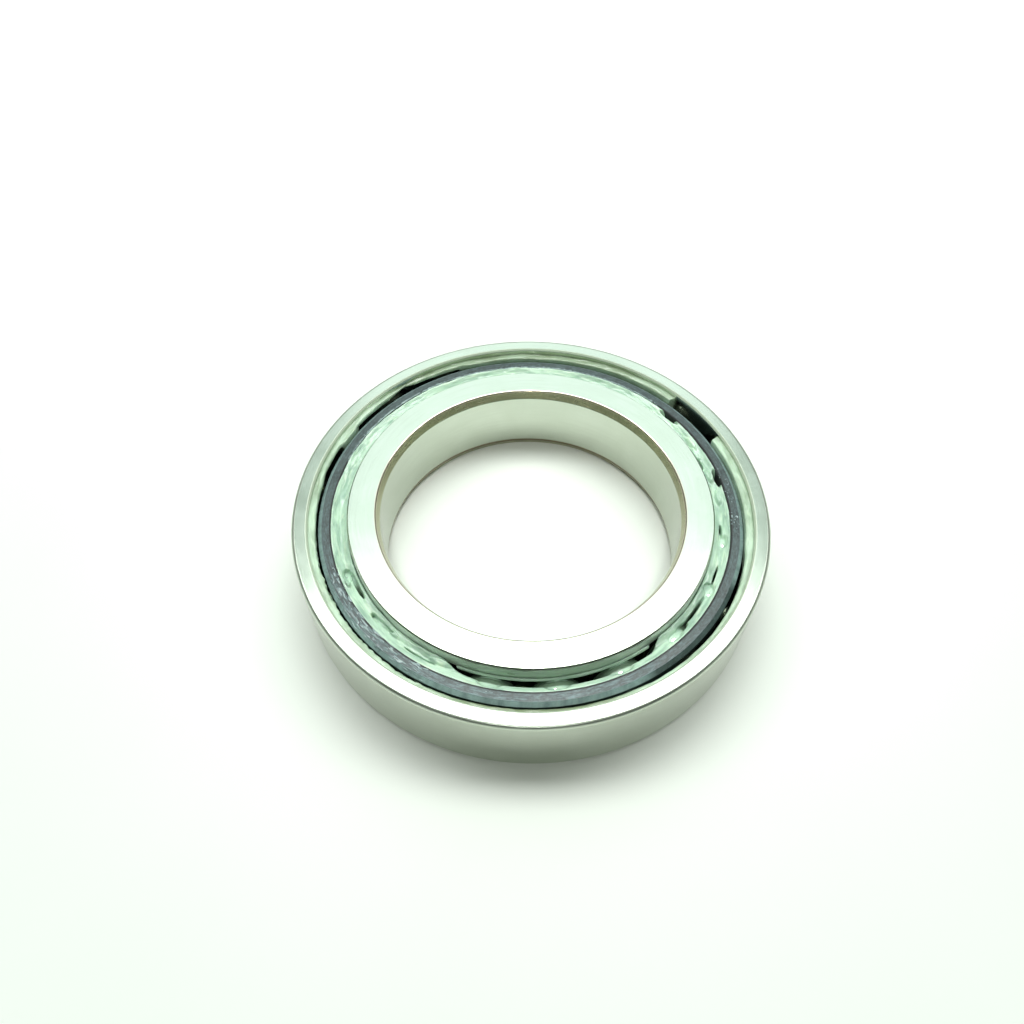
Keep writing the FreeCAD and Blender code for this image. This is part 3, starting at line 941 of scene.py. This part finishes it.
def outer_grease(deg, r, z, c, s):
    wall = counter_radius(z)
    # the band's inner edge, and how high it reaches, round the ring
    near = table([(0, 49.40), (24.2, 49.45), (25.0, 52.0), (42.0, 52.0), (43.0, 49.45),
                  (60, 49.40), (108, 49.45), (111, 49.72), (120, 49.78), (126, 49.95),
                  (129.5, 50.75), (133, 50.35), (137, 49.95), (149.5, 50.0), (151.5, 49.45),
                  (156.5, 49.45), (158.5, 50.12), (168, 50.12), (172, 49.78), (184, 49.66),
                  (205, 49.80), (225, 50.05), (236, 50.30), (300, 50.38), (318, 50.42),
                  (335, 50.15), (344, 49.85), (347, 49.45)], deg)
    reach = table([(0, 8.9), (20, 8.8), (60, 8.7), (75, 8.4), (105, 8.4), (112, 8.7),
                   (128, 8.3), (140, 8.9), (165, 8.9), (200, 9.1), (250, 9.0), (300, 8.8),
                   (320, 8.7), (345, 9.0)], deg)
    low = table([(0, 1.8), (60, 1.8), (107, 1.8), (112, 7.5), (127, 7.7), (131, 8.0), (137, 7.6),
                 (149, 7.6), (151, 3.0), (156, 3.0), (158, 7.7), (185, 7.8), (205, 6.5),
                 (300, 6.5), (340, 6.0), (350, 1.8)], deg)
    ragged = smooth(185, 200, deg) * (1 - smooth(240, 252, deg))
    near = near + ragged * 0.32 * (1 - 2 * np.abs(drawn(N5, c, s, z * 0.5, 22.0)) - 0.35)
    near = near + 0.10 * drawn(N1, c, s, z * 0.35, 9.0) + 0.05 * drawn(N2, c, s, z * 0.9, 34.0)
    reach = reach + 0.22 * drawn(N3, c, s, r * 0.5, 5.0) + 0.10 * drawn(N4, c, s, r * 1.6, 16.0)
    body = smin(r - near, reach - z, 0.55)
    body = smin(body, z - low, 0.3)
    # kept clear of the turning cage and of the balls
    body = smin(body, r - (R_CAGE + 0.12), 0.06)
    body = smin(body, np.sqrt((r - PITCH) ** 2 + z ** 2) - (R_BALL + 0.12), 0.10)
    return smin(body, wall + 0.12 - r, 0.05)


grease_piece("grease_in_counterbore", "outer_ring", GREASE_OUT,
             (R_CAGE, R_COUNTER + 0.3, 1.5, 9.6, 0.09, 0.13), outer_grease)


def ball_distance(x, y, z):
    """Distance to the nearest ball's skin: the sector folds every point onto one ball."""
    ang = np.arctan2(y, x) - PHASE
    ang = (ang + SECTOR / 2) % SECTOR - SECTOR / 2
    r = np.hypot(x, y)
    return np.sqrt((r * np.cos(ang) - PITCH) ** 2 + (r * np.sin(ang)) ** 2 + z ** 2) - R_BALL


# openings in the inner fill: (middle, half width in degrees, middle radius, half width in mm)
OPEN = [(11.5, 3.2, 45.9, 0.55), (18.5, 2.0, 44.0, 0.40), (39.0, 3.6, 45.9, 0.50),
        (203.2, 1.3, 44.5, 0.65),
        (208.5, 4.6, 43.7, 0.40), (220.5, 1.8, 44.2, 0.50), (224.6, 3.2, 43.9, 0.32),
        (238.0, 5.0, 44.7, 0.20), (315.8, 2.2, 44.5, 0.70), (322.0, 6.5, 44.3, 0.32),
        (331.5, 1.5, 44.1, 0.85), (336.0, 3.6, 44.6, 0.22), (351.5, 3.0, 44.2, 0.28)]


def inner_grease(deg, r, z, c, s):
    d_ball = ball_distance(r * c, r * s, z)
    wave = drawn(N4, c, s, r * 0.40, 6.0)
    fine = drawn(N5, c, s, r * 1.5, 18.0)
    # where the fill ends towards the shoulder: it stops short where the groove lies open
    stop = table([(0, 42.5), (244, 42.5), (249, 43.9), (256, 44.75), (290, 44.85), (304, 44.5),
                  (309, 42.5)], deg)
    stop = stop + (0.22 * wave + 0.12 * fine) * smooth(246, 252, deg) * (1 - smooth(304, 309, deg))
    level = table([(0, 7.2), (30, 7.3), (45, 7.6), (200, 7.5), (230, 7.2), (250, 7.3),
                   (300, 7.2), (330, 7.0)], deg)
    top = level + 0.28 * wave + 0.12 * fine - 5.2 * bumps(OPEN, deg, r)
    top = top + 0.75 * bumps(BLOBS, deg, r)
    # it climbs to the cage's edge and sags in the middle of the gap
    top = top - 0.95 * bumps(TOPS, deg, r)
    top = top + 0.45 * smooth(45.2, 46.3, r) - 0.5 * np.exp(-((r - 44.2) / 0.8) ** 2)
    body = smin(top - z, r - stop, 0.5)
    body = smin(body, z + 5.2 + 0.5 * wave, 0.4)
    coat = 0.20 + 0.10 * drawn(N1, c, s, z * 0.5, 12.0) - d_ball
    body = smax(body, smin(coat, R_CAGE_IN - 0.1 - r, 0.2), 0.25)
    # a bead left against the shoulder over the open groove
    bead = 0.40 + 0.10 * wave + 0.06 * fine - np.hypot(r - 42.82, z - 6.18)
    bead = smin(bead, d_ball - 0.10, 0.08)
    opened = smooth(246, 249, deg) * (1 - smooth(304, 308, deg))
    body = smax(body, bead - (1 - opened) * 2.0, 0.12)
    # a ball shows through where its top is wiped clean
    body = smin(body, 0.5 - bumps(GLINTS, deg, r), 0.1)
    # kept clear of the inner ring, and a little sunk into the cage
    body = smin(body, r - (R_LAND + 0.16), 0.12)
    return smin(body, R_CAGE_IN + 0.10 - r, 0.04)


BLOBS = [(4.5, 3.0, 44.7, 0.75), (13.0, 3.0, 44.5, 0.8), (22.5, 3.2, 44.4, 0.6),
         (26.5, 3.0, 45.1, 0.6), (207.0, 1.6, 45.3, 0.5), (228.0, 2.5, 43.9, 0.5),
         (244.0, 3.5, 43.8, 0.7)]
TOPS = [(math.degrees(PHASE) + 360.0 / COUNT * k, wide, 44.9, high)
        for k, wide, high in ((11, 2.4, 0.8), (14, 3.4, 1.0), (15, 3.4, 1.0), (16, 3.2, 1.0),
                              (17, 2.8, 1.0), (18, 2.4, 0.9), (19, 2.3, 0.9))]
GLINTS = [(math.degrees(PHASE) + 360.0 / COUNT * k - 0.6, wide, 44.95, high)
          for k, wide, high in ((11, 0.40, 0.14), (15, 0.45, 0.14), (16, 0.70, 0.20),
                                (17, 1.00, 0.26), (18, 0.60, 0.18), (19, 0.70, 0.22))]

grease_piece("grease_round_balls", "cage", GREASE_IN,
             (R_LAND, R_CAGE_IN + 0.3, -6.2, 8.6, 0.12, 0.14), inner_grease)


def cage_face_grease(deg, r, z, c, s):
    skin = np.where(r > R_CAGE - 0.9, CAGE_TOP - (r - (R_CAGE - 0.9)) * (0.8 / 0.9), CAGE_TOP)
    amount = table([(0, -0.14), (4, -0.10), (13, -0.10), (17, -0.17), (195, -0.20), (206, -0.02),
                    (240, -0.02), (247, -0.18), (300, -0.22), (345, -0.20), (356, -0.05)], deg)
    rough = N3.fbm(r * c * 1.7, r * s * 1.7, 2.0, 3, 0.6)
    long = drawn(N2, c, s, r * 2.6, 22.0, 3)
    share = smooth(150, 200, deg) * (1 - smooth(300, 340, deg))
    # on the far side it laps over the cage's inner edge
    lap = smooth(40, 50, deg) * (1 - smooth(155, 170, deg)) * (1 - smooth(46.5, 47.2, r))
    thick = amount + 0.34 * lap + 0.26 * (rough * (1 - share) + long * share)
    body = np.minimum(thick, 0.22) - (z - skin)
    body = smin(body, z - skin + 0.12, 0.04)
    body = smin(body, R_CAGE - 0.05 - r, 0.08)
    return smin(body, r - (R_CAGE_IN + 0.05), 0.08)


grease_piece("grease_on_cage", "cage", GREASE_FILM,
             (R_CAGE_IN, R_CAGE, 6.9, 8.5, 0.10, 0.07), cage_face_grease, 1700)


def shoulder_grease(deg, r, z, c, s):
    thick = 0.045 + 0.07 * drawn(N5, c, s, z * 0.45, 7.0) + 0.03 * drawn(N1, c, s, z * 1.4, 20.0)
    body = np.minimum(thick, 0.11) - (r - R_LAND)
    body = smin(body, 9.45 + 0.18 * drawn(N2, c, s, 3.0, 9.0) - z, 0.15)
    body = smin(body, z - 5.7 - 0.2 * drawn(N3, c, s, 7.0, 9.0), 0.15)
    return smin(body, r - (R_LAND - 0.08), 0.03)


grease_piece("grease_on_shoulder", "inner_ring", GREASE_SHOULDER,
             (R_LAND - 0.15, R_LAND + 0.2, 5.2, 9.8, 0.045, 0.14), shoulder_grease, 1500)

# ------------------------------------------------------------------------------- floor
floor_mat = Nodes("floor_paper")
soft = floor_mat.noise(floor_mat.pos, 14.0, 3.0, 0.5)
tooth = floor_mat.noise(floor_mat.pos, 900.0, 3.0, 0.6)
floor_mat.set(Base_Color=floor_mat.mix(floor_mat.ramp(soft, 0.3, 0.7), rgb(0.925, 0.945, 0.885),
                                       rgb(0.94, 0.955, 0.90)),
              Roughness=0.75, Normal=floor_mat.bump(tooth, 0.08, 0.0001))
floor_mat.bsdf.inputs["Specular IOR Level"].default_value = 0.25
me = bpy.data.meshes.new("floor")
half = 3.0
zf = BOTTOM * MM
me.from_pydata([(-half, -half, zf), (half, -half, zf), (half, half, zf), (-half, half, zf)], [],
               [(0, 1, 2, 3)])
me.materials.append(floor_mat.mat)
floor = bpy.data.objects.new("floor", me)
bpy.context.scene.collection.objects.link(floor)
floor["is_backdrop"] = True


# ------------------------------------------------------------------------------ lights
def area(name, location, target, size, power, colour=(0.96, 1.0, 0.965)):
    data = bpy.data.lights.new(name, "AREA")
    data.shape = "RECTANGLE"
    data.size, data.size_y = size
    data.energy = power
    data.color = colour
    ob = bpy.data.objects.new(name, data)
    ob.location = location
    ob.rotation_euler = (Vector(target) - Vector(location)).to_track_quat("-Z", "Y").to_euler()
    bpy.context.scene.collection.objects.link(ob)
    return ob


# overhead: a bright panel with a wing at each side, a dimmer strip and a broad one behind it
area("panel", (0.03, 0.285, 1.0), (0.03, 0.285, 0.0), (0.68, 0.37), 6.3, (0.955, 1.0, 0.975))
area("panel_left", (-0.60, 0.28, 1.0), (-0.60, 0.28, 0.0), (0.44, 0.36), 3.3, (0.955, 1.0, 0.975))
area("panel_right", (0.66, 0.28, 1.0), (0.66, 0.28, 0.0), (0.44, 0.36), 3.3, (0.955, 1.0, 0.975))
area("strip", (0.03, 0.54, 1.0), (0.03, 0.54, 0.0), (0.70, 0.14), 0.60, (0.94, 1.0, 1.0))
area("panel_back", (0.035, 0.96, 1.0), (0.035, 0.96, 0.0), (0.71, 0.70), 1.50, (0.885, 1.0, 1.02))

# a soft light from the front that reaches into the bore and stops short of the near edge
fill = bpy.data.lights.new("fill_in_bore", "SPOT")
fill.energy = 15.8
fill.color = (0.97, 1.0, 0.96)
fill.shadow_soft_size = 0.08
fill.spot_size = math.radians(7.0)
fill.spot_blend = 0.30
lamp = bpy.data.objects.new("fill_in_bore", fill)
lamp.location = (0.0, -0.45, 0.95)
aim = Vector((0.0, 0.014, 0.0)) - Vector((0.0, -0.45, 0.95))
lamp.rotation_euler = aim.to_track_quat("-Z", "Y").to_euler()
bpy.context.scene.collection.objects.link(lamp)

# a room that is light behind the bearing and dim on the camera's side
world = bpy.data.worlds.new("studio")
world.use_nodes = True
tree = world.node_tree
bg = tree.nodes["Background"]
where = tree.nodes.new("ShaderNodeTexCoord")
# brightest towards a point up and behind the bearing, dark on the camera's side
toward = tree.nodes.new("ShaderNodeVectorMath")
toward.operation = "DOT_PRODUCT"
toward.inputs[1].default_value = (0.0, 0.62, 0.785)
tree.links.new(where.outputs["Generated"], toward.inputs[0])
turn = tree.nodes.new("ShaderNodeMapRange")
turn.interpolation_type = "SMOOTHSTEP"
turn.inputs["From Min"].default_value = 0.66
turn.inputs["From Max"].default_value = 0.97
tree.links.new(toward.outputs["Value"], turn.inputs[0])
blend = tree.nodes.new("ShaderNodeMix")
blend.data_type = "RGBA"
blend.inputs[6].default_value = rgb(0.075, 0.086, 0.075)
blend.inputs[7].default_value = rgb(0.60, 0.71, 0.68)
tree.links.new(turn.outputs[0], blend.inputs[0])
# and a pale band along the horizon, for the views from low down
axes = tree.nodes.new("ShaderNodeSeparateXYZ")
tree.links.new(where.outputs["Generated"], axes.inputs[0])
band = tree.nodes.new("ShaderNodeMapRange")
band.inputs["From Min"].default_value = 0.30
band.inputs["From Max"].default_value = 0.04
tree.links.new(axes.outputs[2], band.inputs[0])
horizon = tree.nodes.new("ShaderNodeMix")
horizon.data_type = "RGBA"
horizon.inputs[7].default_value = rgb(0.74, 0.82, 0.76)
tree.links.new(band.outputs[0], horizon.inputs[0])
tree.links.new(blend.outputs[2], horizon.inputs[6])
tree.links.new(horizon.outputs[2], bg.inputs[0])
bg.inputs[1].default_value = 1.0
scene = bpy.context.scene
scene.world = world
scene.view_settings.view_transform = "Standard"
scene.view_settings.look = "None"
scene.view_settings.exposure = 0.0
scene.view_settings.gamma = 1.0

# ------------------------------------------------------------------------------ camera
cam_data = bpy.data.cameras.new("camera")
cam_data.lens = 29.27
cam_data.sensor_width = 36.0
cam_data.clip_start = 0.005
cam_data.clip_end = 20.0
cam = bpy.data.objects.new("camera", cam_data)
cam.location = (-4.297 * MM, -116.47 * MM, 164.09 * MM)
cam.rotation_euler = (math.radians(90 - 53.608), 0, 0)
scene.collection.objects.link(cam)
scene.camera = cam

lo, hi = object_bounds()
